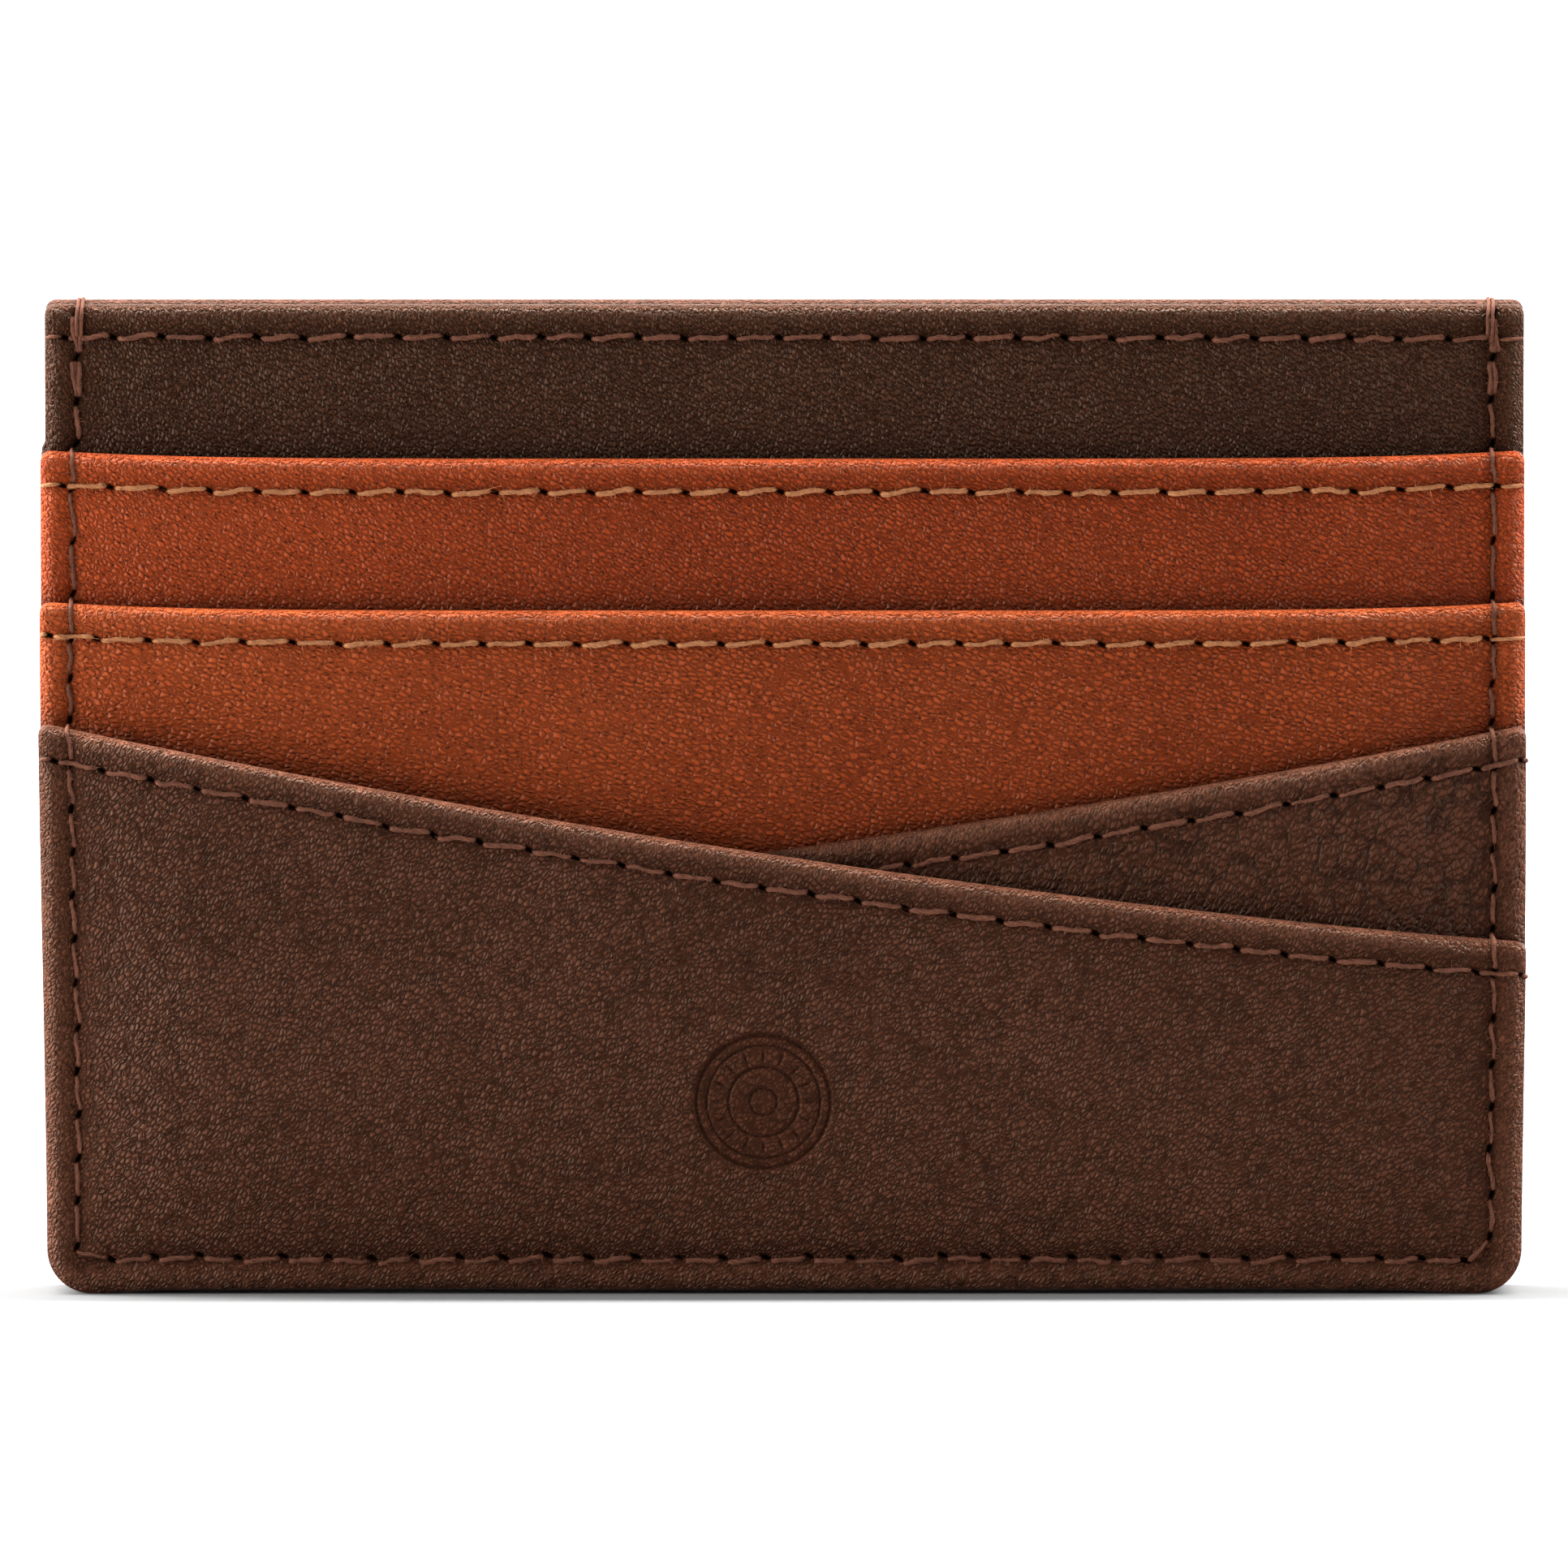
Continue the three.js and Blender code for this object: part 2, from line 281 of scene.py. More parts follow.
class Seam:
    """A line of stitches: its line, its needle holes and the way each slit lies."""

    def __init__(self, line, stops, seed, pitch=STITCH, jitter=0.05):
        rng = np.random.default_rng(seed)
        self.line = line
        holes = [stops[0]]
        for low, high in zip(stops, stops[1:]):
            count = max(1, round((high - low) / pitch))
            holes.extend(low + (high - low) * (k + 1) / count for k in range(count))
        self.holes, ahead = point_on(line, np.array(holes) + rng.normal(0, jitter, len(holes)))
        self.holes = self.holes + left_of(ahead) * rng.normal(0, jitter, (len(holes), 1))
        self.slit = turned(ahead, SLIT_TURN + rng.normal(0, 0.08, len(holes)))
        self.size = rng.uniform(0.85, 1.15, len(holes))


def crossings(x):
    """The heights where mouths show along an upright line at x, from the foot up."""
    shown = [-1.0]
    for layer in LAYERS:
        at = float(layer.mouth(x))
        if at > shown[-1]:
            shown.append(at)
    return shown[1:]


PERIMETER_LINE = perimeter_line()
PERIMETER_LENGTH = along(PERIMETER_LINE)[-1]
SEAM_TOP = PERIMETER_LINE[0, 1]


def perimeter_stops():
    """Fixed holes: the two ends, and one each side of every mouth that the seam crosses."""
    stops = [0.0]
    for at in reversed(crossings(-SEAM_X)[:-1]):
        middle = SEAM_TOP - at
        stops += [middle - HOLE_BY_MOUTH, middle + PERIMETER_STITCH - HOLE_BY_MOUTH]
    for at in crossings(SEAM_X)[:-1]:
        middle = PERIMETER_LENGTH - SEAM_TOP + at
        stops += [middle - PERIMETER_STITCH + HOLE_BY_MOUTH, middle + HOLE_BY_MOUTH]
    return stops + [PERIMETER_LENGTH]


PERIMETER = Seam(PERIMETER_LINE, perimeter_stops(), 20, PERIMETER_STITCH, 0.07)
for layer in SHEETS:
    line = mouth_line(layer)
    start = MOUTH_LINE_PAST + np.random.default_rng(layer.seed).uniform(0.6, 1.6)
    end = along(line)[-1] - MOUTH_LINE_PAST
    count = int((end - start) / STITCH)
    layer.seam = Seam(line, [start, start + count * STITCH], layer.seed + 30)

UPPER_SLOT = LAYERS[3]
stop_x = np.linspace(-STOP_REACH, STOP_REACH, 100)
STOP_LINE = np.stack([stop_x, np.full(100, STOP_TOP - STOP_WIDTH / 2)], 1)
UPPER_SLOT.stop_seam = Seam(STOP_LINE, [0.4, along(STOP_LINE)[-1] - 0.4], 21)


# --- The shape of a sheet's outer face ---

def below_mouth(layer, points):
    """How far each point is below the sheet's mouth, square to it."""
    x = points[:, 0]
    return (layer.mouth_at(x) - points[:, 1]) / np.sqrt(1 + layer.slope_at(x) ** 2)


def to_edge(layer, points):
    """Each point's distance from the sheet's outline."""
    across, z = np.abs(points[:, 0]), points[:, 1]
    edge = np.minimum(np.minimum(HALF - across, z), below_mouth(layer, points))
    inner = HALF - CORNER
    round_foot = CORNER - np.hypot(across - inner, CORNER - z)
    edge = np.where((across > inner) & (z < CORNER), round_foot, edge)
    inner = HALF - MOUTH_CORNER
    high = layer.mouth(np.sign(points[:, 0]) * inner) - MOUTH_CORNER
    round_top = MOUTH_CORNER - np.hypot(across - inner, z - high)
    edge = np.where((across > inner) & (z > high), round_top, edge)
    return np.maximum(edge, 0)


def to_perimeter(points):
    """Each point's distance from the seam through all the layers."""
    x, z = np.abs(points[:, 0]), points[:, 1]
    side = np.where(z > FOOT_SEAM - 0.5, np.abs(SEAM_X - x), 99)
    foot = np.where(x < SEAM_X + 0.5, np.abs(z - FOOT_SEAM), 99)
    return np.minimum(side, foot)


def belly_of(layer, points):
    """How far the sheet bows out from its seams."""
    inside = SEAM_X - np.abs(points[:, 0])
    above_foot = points[:, 1] - FOOT_SEAM
    return layer.bow * ease(inside / BELLY_SIDE) * ease(above_foot / BELLY_FOOT)


def swell(layer, points):
    """How far the outer face stands out from the layer's plane, without the needle slits."""
    x, z = points[:, 0], points[:, 1]
    below = below_mouth(layer, points)
    out = belly_of(layer, points)
    out = out - SIDE_DENT * np.exp(-(to_perimeter(points) / SIDE_DENT_REACH) ** 2)
    out = out - MOUTH_DENT * np.exp(-((below - MOUTH_SEAM) / MOUTH_DENT_REACH) ** 2)
    for from_edge in (below, HALF - np.abs(x)):
        out = out + ROLL * smooth(1 - np.abs(from_edge - ROLL_AT) / ROLL_REACH)
    fade = smooth((SEAM_X - np.abs(x)) / 6) * smooth((z - FOOT_SEAM) / 6)
    return out + UNEVEN * layer.uneven(x, z) * fade


def slits_near(layer, points):
    """For each point, how near the nearest needle slit is: 0 at its middle, 1 at its rim."""
    nearest = np.full(len(points), 99.0)
    pucker = np.zeros(len(points))
    for seam in layer.seams:
        for hole, way, size in zip(seam.holes, seam.slit, seam.size):
            box = np.abs(points - hole).max(1) < 1.6
            if not box.any():
                continue
            d = points[box] - hole
            u = d @ way
            v = d @ left_of(way)
            r = np.hypot(u / (SLIT_HALF_LENGTH * size), v / (SLIT_HALF_WIDTH * size))
            nearest[box] = np.minimum(nearest[box], r)
            pucker[box] = np.maximum(pucker[box], np.exp(-((np.hypot(u, v) / PUCKER_REACH) ** 2)))
    return nearest, pucker


EMBLEM_AT = np.array([-1.4, 13.1])
EMBLEM_RADIUS = 4.55
EMBLEM_TICKS = 16
EMBLEM_RINGS = ((0.84, 0.15), (0.52, 0.17), (0.2, 0.2))  # share of the radius, half width
EMBLEM_LINE, EMBLEM_DISH = 0.25, 0.1  # depths


def emblem_depth(points):
    """A plain pressed roundel: a rim and three rings, with short ticks between two of them."""
    d = points - EMBLEM_AT
    r = np.hypot(d[:, 0], d[:, 1])

    def groove(distance, half):
        return smooth(1 - np.abs(distance) / half)

    depth = groove(r - EMBLEM_RADIUS, 0.26)
    for share, half in EMBLEM_RINGS:
        depth = np.maximum(depth, 0.75 * groove(r - share * EMBLEM_RADIUS, half))
    pitch = 2 * math.pi / EMBLEM_TICKS
    off = (np.arctan2(d[:, 1], d[:, 0]) / pitch + 0.5) % 1 - 0.5
    tick = groove(off * pitch * r, 0.16) * groove(r - 0.68 * EMBLEM_RADIUS, 0.55) ** 0.5
    depth = np.maximum(depth, 0.8 * tick)
    dish = smooth((EMBLEM_RADIUS + 0.1 - r) / 0.3)
    return EMBLEM_LINE * depth + EMBLEM_DISH * dish


# --- Sheets ---

RIM_RINGS = (0.05, 0.14, 0.28, 0.48, 0.75, 1.1)
SEAM_OFFSETS = (-0.95, -0.6, -0.34, -0.16, 0.0, 0.16, 0.34, 0.6, 0.95)
SLIT_RINGS = (0.35, 0.7, 0.92, 1.08, 1.35, 1.8)  # against the slit's own size
SLIT_GAP, RIM_GAP, SEAM_GAP, BODY_GAP = 0.02, 0.05, 0.16, 0.45  # from each group to those before
EMBLEM_FIELD = 5.1  # the radius of the fine mesh round the roundel


def inset(outline, distance):
    ahead = np.roll(outline, -1, 0) - np.roll(outline, 1, 0)
    return outline + distance * left_of(unit(ahead))


def grid(low, high, gap):
    """Points in staggered rows."""
    rows = []
    for k, z in enumerate(np.arange(low[1], high[1], gap * 0.87)):
        x = np.arange(low[0] + (k % 2) * gap / 2, high[0], gap)
        rows.append(np.stack([x, np.full(len(x), z)], 1))
    return np.concatenate(rows)


def slit_ring(hole, way, size, k):
    """Points on the k-th ring round a slit: like the slit when small, and rounder when large."""
    ring = SLIT_RINGS[k]
    t = np.linspace(0, 2 * math.pi, 12, endpoint=False) + k * 0.26
    a, b = SLIT_HALF_LENGTH * size * ring, SLIT_HALF_WIDTH * size * ring
    if ring > 1.2:
        a, b = SLIT_HALF_LENGTH + 0.2 * (ring - 0.6), SLIT_HALF_WIDTH + 0.2 * (ring - 0.9)
    return hole + np.outer(a * np.cos(t), way) + np.outer(b * np.sin(t), left_of(way))


def fine_points(layer):
    """Points for the outer face: dense at the rim, along the seams and round every needle slit."""
    slit_points, seam_points = [], []
    for seam in layer.seams:
        for hole, way, size in zip(seam.holes, seam.slit, seam.size):
            slit_points.extend(slit_ring(hole, way, size, k) for k in range(len(SLIT_RINGS)))
            middle = SLIT_HALF_LENGTH * size * np.array([-0.2, 0.0, 0.2])
            slit_points.append(hole + np.outer(middle, way))
        p, ahead = point_on(seam.line, np.arange(0, along(seam.line)[-1], 0.3))
        for k, offset in enumerate(SEAM_OFFSETS):
            seam_points.append(p + ahead * 0.15 * (k % 2) + left_of(ahead) * offset)
    seam_points = np.concatenate(seam_points)
    nearest, _ = slits_near(layer, seam_points)
    rim = np.concatenate([inset(layer.outline, r) for r in RIM_RINGS])
    true_rim = to_edge(layer, rim) > 0.93 * np.repeat(RIM_RINGS, len(layer.outline))
    groups = [
        (np.concatenate(slit_points), SLIT_GAP),
        (rim[true_rim], RIM_GAP),
        (seam_points[nearest > 1.9], SEAM_GAP),
        (grid((-HALF, 0), (HALF, TALLEST), 0.95), BODY_GAP),
    ]
    if layer is LAYERS[0]:
        disc = grid(EMBLEM_AT - EMBLEM_FIELD - 0.1, EMBLEM_AT + EMBLEM_FIELD + 0.1, 0.12)
        groups[1] = (rim[true_rim], 2 * RIM_GAP)
        groups.insert(1, (disc[np.hypot(*(disc - EMBLEM_AT).T) < EMBLEM_FIELD], RIM_GAP))
    return groups


def coarse_points(layer):
    """Points for the inner face: at the rim, and each side of the steps to the hems and mouth."""
    rim = np.concatenate([inset(layer.outline, 0.3), inset(layer.outline, 0.8)])
    x = layer.outline[:, 0]
    steps = np.stack([x, layer.mouth_at(x) - TURNED_DEPTH], 1)
    hems = [np.stack([np.full(90, s * (HALF - HEM + d)), np.linspace(0, TALLEST, 90)], 1)
            for s in (-1, 1) for d in (-0.3, 0.3)]
    lines = [steps + [0, 0.25], steps - [0, 0.25], *hems]
    body = grid((-HALF, 0), (HALF, TALLEST), 2.5)
    return [(rim, 0.1), *((line, 0.3) for line in lines), (body, 1.0)]


def settle(layer, groups):
    """Joins groups of points, without those outside the sheet or too near earlier ones."""
    kept = np.zeros((0, 2))
    for points, gap in groups:
        high = layer.mouth_at(points[:, 0])
        points = points[(np.abs(points[:, 0]) < HALF) & (points[:, 1] > 0) & (points[:, 1] < high)]
        points = points[to_edge(layer, points) > 0.03]
        points = thinned(points, 0.03)
        if len(kept):
            points = points[clear_of(points, kept, gap)]
        kept = np.concatenate([kept, points])
    return kept


def clear_of(points, others, gap):
    """True for each point with none of the others in its own or a neighbouring cell."""
    def key(p, dx=0, dz=0):
        c = np.floor(p / gap).astype(np.int64) + [dx, dz]
        return c[:, 0] * 1000003 + c[:, 1]

    taken = np.unique(key(others))
    clear = np.ones(len(points), bool)
    for dx in (-1, 0, 1):
        for dz in (-1, 0, 1):
            clear &= ~np.isin(key(points, dx, dz), taken)
    return clear


def triangulate(layer, points):
    """Triangles over the outline and these points, without those across the dip of the mouth."""
    count = len(layer.outline)
    flat = np.concatenate([layer.outline, points])
    coords = [tuple(p) for p in flat]
    _, _, faces, origin, _, _ = delaunay_2d_cdt(coords, [], [list(range(count))], 1, 1e-9, True)
    index = np.array([o[0] for o in origin])
    faces = np.array([[index[k] for k in f] for f in faces])
    middle = flat[faces].mean(1)
    return faces[middle[:, 1] < layer.mouth_at(middle[:, 0])]


def side_wander(points):
    """The real sides aren't quite straight: the foot is a little narrower than the slots."""
    x, z = points[:, 0], points[:, 1]
    left = 0.3 - 0.55 * smooth(1 - z / 45) - 0.25 * smooth((z - 56.9) / 0.4)
    right = 0.1 - 0.3 * smooth(1 - z / 30)
    return np.where(x < 0, -left, right) * smooth((np.abs(x) - 40) / 8)


FOOT_WAVE = waves(77, 20, 90, 5)
FOOT_LIFT = 0.28  # the foot stands off the floor between its two corners


def place(points, y):
    """Sheet coordinates and depth to a point in the shared frame, in metres."""
    x = points[:, 0] + side_wander(points)
    lift = FOOT_LIFT * (1 + 0.25 * FOOT_WAVE(points[:, 0], 0 * x)) * smooth(1 - points[:, 1] / 12)
    lift = lift * smooth((46.5 - np.abs(points[:, 0])) / 5)
    z = points[:, 1] + lift
    return np.stack([x, y, z], 1) * MM


def inner_depth(layer, points):
    """How deep the sheet is behind its outer face: hem, turned mouth or single leather."""
    x, z = points[:, 0], points[:, 1]
    below = below_mouth(layer, points)
    side = smooth((HALF - np.abs(x) - HEM) / 0.5 + 0.5)
    foot = smooth((z - HEM) / 0.5 + 0.5)
    room = side * foot
    turned_in = smooth((TURNED_DEPTH - below) / 0.4 + 0.5)
    single = SKIN + (TURNED - SKIN) * turned_in
    return layer.depth * (1 - room) + single * room


def edge_shape(edge, radius):
    """0 at the very edge, 1 where the edge's round is over."""
    t = np.clip(edge / radius, 0, 1)
    return np.sqrt(np.maximum(0, 1 - (1 - t) ** 2))


def sheet_surface(layer, points, outer):
    """The depth of the outer or inner face at each point."""
    at_mouth = smooth(2 - below_mouth(layer, points))
    radius = SIDE_ROUND + (MOUTH_ROUND - SIDE_ROUND) * at_mouth
    out = layer.front + layer.facing * swell(layer, points)
    back = layer.front + layer.facing * (belly_of(layer, points) - inner_depth(layer, points))
    middle = (out + back) / 2
    face = out if outer else back
    return middle + (face - middle) * edge_shape(to_edge(layer, points), radius)


def build_sheet(layer):
    """The leather as one closed mesh, with what its material needs to know at each point."""
    layer.outline = outline_of(layer.mouth)
    layer.seams = [layer.seam, PERIMETER] + ([UPPER_SLOT.stop_seam] if layer is UPPER_SLOT else [])
    outer = settle(layer, fine_points(layer))
    inner = settle(layer, coarse_points(layer))
    outer_faces, inner_faces = triangulate(layer, outer), triangulate(layer, inner)
    count = len(layer.outline)

    points = np.concatenate([layer.outline, outer])
    nearest, pucker = slits_near(layer, points)
    pit = np.sqrt(np.maximum(0, 1 - (nearest / 1.15) ** 2))
    mark = emblem_depth(points) if layer is LAYERS[0] else np.zeros(len(points))
    sunk = PIT_DEPTH * pit + PUCKER_DEPTH * pucker + mark
    edge = to_edge(layer, points)
    y = sheet_surface(layer, points, True) - layer.facing * sunk * smooth(edge / 0.4)
    verts = np.concatenate([place(points, y), place(inner, sheet_surface(layer, inner, False))])
    inner_faces = np.where(inner_faces < count, inner_faces, inner_faces - count + len(points))
    if layer.facing > 0:
        outer_faces = outer_faces[:, ::-1]
    else:
        inner_faces = inner_faces[:, ::-1]
    faces = np.concatenate([outer_faces, inner_faces])
    o = mesh_object(f"{layer.name}_leather", verts, faces.tolist())

    below = below_mouth(layer, points)
    in_margin = smooth((SIDE_SEAM + 0.2 - (HALF - np.abs(points[:, 0]))) / 0.8)
    # Painted light: the sheet is lightened along the foot, where its bow turns it down and away from
    # the lamps.
    foot_light = 0.7 * smooth((FOOT_SEAM - points[:, 1]) / 0.8)
    to_seam = np.minimum(to_perimeter(points), np.abs(below - MOUTH_SEAM))
    shares = {
        "lip": np.maximum(smooth((1.35 - below) / 0.7), 0.6 * in_margin),
        # Lighter at every edge, partly wear and partly a painted highlight on the rounded edges, and
        # painted light along the foot.
        "wear_and_painted_light": np.maximum(smooth((0.85 - edge) / 0.8), foot_light),
        # Painted shadow in the needle slits.
        "slit": smooth((1.3 - nearest) / 0.35),
        # Painted shade in the dents along the seams and round the slits.
        "crease": np.maximum(pucker * 0.5, 0.75 * np.exp(-(to_seam / 0.35) ** 2)),
        # Painted shadow above the mouth of the sheet in front, under its lip.
        "lip_shadow": lip_shadow_of(layer, points),
        "pressed": 0.18 * smooth(mark / 0.08) + 0.8 * smooth((mark - 0.13) / 0.12),
    }
    for name, values in shares.items():
        give(o, name, np.concatenate([values, np.zeros(len(inner))]))
    return o


def build_lining(layer, start):
    """The cloth behind a sheet: between its side hems, and up from start to its turned mouth."""
    half, top, foot = HALF - HEM - LINING_IN, TURNED_DEPTH + LINING_IN, start + LINING_IN
    columns, rows = 90, 50
    x = np.tile(np.linspace(-half, half, columns), rows)
    up = np.repeat(np.linspace(0, 1, rows), columns)
    z = foot + (layer.mouth(x) - top - foot) * up
    points = np.stack([x, z], 1)
    inner = sheet_surface(layer, points, False)
    near = place(points, inner - layer.facing * LINING_GAP)
    far = place(points, inner - layer.facing * (LINING_GAP + CLOTH))
    total = columns * rows
    index = np.arange(total).reshape(rows, columns)
    corners = [index[:-1, :-1], index[:-1, 1:], index[1:, 1:], index[1:, :-1]]
    quads = np.stack(corners, -1).reshape(-1, 4)
    rim = np.concatenate([index[0], index[1:, -1], index[-1, -2::-1], index[-2:0:-1, 0]])
    ahead = np.roll(rim, -1)
    sides = np.stack([rim, rim + total, ahead + total, ahead], 1)
    faces = np.concatenate([quads, quads[:, ::-1] + total, sides])
    if layer.facing > 0:
        faces = faces[:, ::-1]
    o = mesh_object(f"{layer.name}_cloth", np.concatenate([near, far]), faces.tolist())
    height = float(layer.mouth(0)) - top - foot
    return o


def lip_shadow_of(layer, points):
    """1 right above the mouth of the sheet in front and 0 well above: a painted shadow under that
    sheet's lip.
    """
    if layer not in LAYERS or layer is LAYERS[0]:
        return np.zeros(len(points))
    in_front = LAYERS[:LAYERS.index(layer)]
    cover = np.max([front.mouth_at(points[:, 0]) for front in in_front], axis=0)
    above = np.maximum(points[:, 1] - cover, 0)
    return 0.6 * np.exp(-above / SHADOW_REACH) + 0.4 * np.exp(-above / SHADOW_LINE)


def linked(name, data):
    o = bpy.data.objects.new(name, data)
    bpy.context.scene.collection.objects.link(o)
    return o


def mesh_object(name, verts, faces):
    mesh = bpy.data.meshes.new(name)
    mesh.from_pydata(verts.tolist(), [], faces)
    mesh.validate()
    mesh.shade_smooth()
    return linked(name, mesh)


def give(o, name, values, kind="FLOAT"):
    attribute = o.data.attributes.new(name, kind, "POINT")
    field = "value" if kind == "FLOAT" else "vector"
    attribute.data.foreach_set(field, np.asarray(values, np.float32).ravel())


# --- Threads ---

THREAD_SIDES = 14
PLIES, LAY, TWIST = 3, 1.15, 1.6  # over LAY the thread turns by TWIST times the angle between plies
HAIR_STEPS, HAIR_RADIUS = 7, 0.017


class Strand:
    """Collects tubes of three-ply thread, and the loose fibres on them, into one mesh."""

    def __init__(self, seed):
        self.rng = np.random.default_rng(seed)
        self.verts, self.faces, self.fibre = [], [], []
        self.count = 0

    def skin(self, rings, sides):
        """Faces over a row of rings with the same number of points, and over both ends."""
        k = np.arange(sides)
        ahead = (k + 1) % sides
        last = self.count + (len(rings) - 1) * sides
        for a in range(self.count, last, sides):
            quads = np.stack([a + k, a + ahead, a + sides + ahead, a + sides + k], 1)
            self.faces.extend(quads.tolist())
        self.faces.append((self.count + k[::-1]).tolist())
        self.faces.append((last + k).tolist())
        self.verts.append(np.concatenate(rings))
        self.count = last + sides

    def tube(self, path, radius, normal, flat=1.0):
        """A plied thread along points in mm in the shared frame, with a radius for each point."""
        d = unit(np.gradient(path, axis=0))
        up = np.tile(np.array(normal, float), (len(path), 1))
        up = unit(up - (up * d).sum(1, keepdims=True) * d)
        side = np.cross(d, up)
        s = np.concatenate([[0], np.cumsum(np.linalg.norm(np.diff(path, axis=0), axis=1))])
        t = np.linspace(0, 2 * math.pi, THREAD_SIDES, endpoint=False)
        start = self.rng.uniform(0, 6)
        rings = []
        for i in range(len(path)):
            twist = start + s[i] / LAY * 2 * math.pi / PLIES * TWIST
            r = radius[i] * (0.8 + 0.3 * np.abs(np.cos(PLIES / 2 * (t - twist))))
            across = np.outer(r * np.cos(t) * flat, up[i]) + np.outer(r * np.sin(t) / flat, side[i])
            rings.append(path[i] + across)
            around = s[i] + start * 10
            self.fibre.append(np.stack([np.full(THREAD_SIDES, around), np.cos(t - twist),
                                        np.sin(t - twist)], 1))
        self.skin(rings, THREAD_SIDES)

    def hair(self, root, way, length):
        """One loose fibre, three-sided, bending as it leaves the thread."""
        steps = HAIR_STEPS
        bend = self.rng.normal(0, 1, 3)
        bend = bend / np.linalg.norm(bend)
        t = np.linspace(0, 1, steps)[:, None]
        path = root + way * length * t + bend * length * 0.45 * t ** 2
        path = path + self.rng.normal(0, 0.02, (steps, 3)) * t
        d = unit(np.gradient(path, axis=0))
        side = unit(np.cross(d, bend))
        up = np.cross(side, d)
        rings = []
        for i in range(steps):
            r = HAIR_RADIUS * (1 - 0.6 * i / steps)
            ring = [path[i] + r * (math.cos(a) * up[i] + math.sin(a) * side[i]) for a in (0, 2.1, 4.2)]
            rings.append(np.array(ring))
            self.fibre.append(np.tile([i * 0.1, 1.0, 0.0], (3, 1)))
        self.skin(rings, 3)

    def build(self, name):
        o = mesh_object(name, np.concatenate(self.verts) * MM, self.faces)
        give(o, "ply", np.concatenate(self.fibre), "FLOAT_VECTOR")
        return o


def surface_at(layer, points):
    """The outer face's depth for threads, which ride over the needle slits."""
    return sheet_surface(layer, points, True)


def stitch(strand, a, b, depth, radius, facing, arch=0.0, fuzz=10, slack=0.0):
    """One stitch from point a to point b in sheet coordinates, over a surface given by depth."""
    rng = strand.rng
    length = np.linalg.norm(b - a)
    count = max(10, round(length / 0.17))
    t = np.linspace(0, 1, count)
    ahead = (b - a) / length
    side = left_of(ahead)
    sway = slack * np.sin(math.pi * t) + 0.045 * rng.normal() * np.sin(2 * math.pi * t)
    sway = sway + 0.03 * rng.normal() * np.sin(3 * math.pi * t)
    flat = a + np.outer(t * length, ahead) + np.outer(sway, side)
    rise = smooth(t * length / 0.24) * smooth((1 - t) * length / 0.24)
    y = depth(flat) + facing * (radius * 0.5 + arch * np.sin(math.pi * t) - 0.55 * (1 - rise))
    path = np.stack([flat[:, 0] + side_wander(flat), y, flat[:, 1]], 1)
    uneven = rng.normal(0, 0.14, count)
    uneven = np.convolve(np.pad(uneven, 2, "edge"), np.ones(5) / 5, "valid") * 1.6
    full = radius * (0.78 + 0.22 * rise) * (1 + 0.05 * rng.normal() + uneven)
    strand.tube(path, full, (0, facing, 0), flat=0.88)
    for _ in range(rng.poisson(fuzz)):
        k = rng.integers(1, count - 1)
        out = rng.uniform(-1, 1)
        way = np.array([ahead[0] * rng.normal() * 0.5 + side[0] * out, facing * rng.uniform(0.1, 0.6),
                        ahead[1] * rng.normal() * 0.5 + side[1] * out])
        way = way / np.linalg.norm(way)
        root = path[k] + np.array([side[0] * out, facing * 0.5, side[1] * out]) * radius * 0.8
        strand.hair(root, way, rng.uniform(0.2, 0.7) * (1 + (rng.random() < 0.12)))


def ends_of(seam, k):
    """The two ends of a seam's k-th stitch."""
    a, b = seam.holes[k:k + 2]
    return a + seam.slit[k] * SLIT_REACH, b - seam.slit[k + 1] * SLIT_REACH


def run_of_stitches(strand, seam, layer, radius=THREAD_RADIUS, fuzz=10):
    """A seam's whole row of stitches, on the outer face of one layer."""
    def depth(points):
        return surface_at(layer, points)

    for k in range(len(seam.holes) - 1):
        stitch(strand, *ends_of(seam, k), depth, radius, layer.facing, fuzz=fuzz)
    return strand


def topstitch(layer):
    """The row of stitches along a mouth, out to both side edges and round them."""
    seam = layer.seam
    strand = run_of_stitches(Strand(layer.seed + 200), seam, layer)
    for end, s in ((0, -1), (-1, 1)):
        wrap(strand, layer, seam.holes[end] + s * seam.slit[end] * SLIT_REACH, s)
    return strand


def softened(path, count, times):
    """A path with that many points, and with its bends rounded that many times."""
    at, fine = np.linspace(0, 1, len(path)), np.linspace(0, 1, count)
    path = np.stack([np.interp(fine, at, path[:, k]) for k in range(3)], 1)
    for _ in range(times):
        path[1:-1] = (path[:-2] + 2 * path[1:-1] + path[2:]) / 4
    return path


def wrap(strand, layer, start, s):
    """The last stitch runs out to the side edge and turns in behind it."""
    facing = layer.facing
    edge = s * HALF
    z = start[1] + 0.12 * s
    inner = layer.front - facing * layer.depth
    flat = np.array([[start[0] + (edge - start[0]) * t, start[1] + (z - start[1]) * t]
                     for t in (0, 0.12, 0.3, 0.5, 0.68)])
    y = surface_at(layer, flat) + facing * THREAD_RADIUS * np.array([-2.5, 0.1, 0.5, 0.5, 0.55])
    on_face = np.stack([flat[:, 0] + side_wander(flat), y, flat[:, 1]], 1)
    out = edge + float(side_wander(np.array([[edge, z]]))[0]) - s * 0.1
    round_edge = [
        [out - s * 0.16, layer.front - facing * 0.28, z],
        [out, (layer.front + inner) / 2, z],
        [out - s * 0.2, inner + facing * 0.2, z],
        [out - s * 0.7, inner + facing * 0.3, z],
    ]
    path = softened(np.concatenate([on_face, round_edge]), 22, 2)
    strand.tube(path, np.full(len(path), THREAD_RADIUS * 0.9), (0, facing, 0.3))


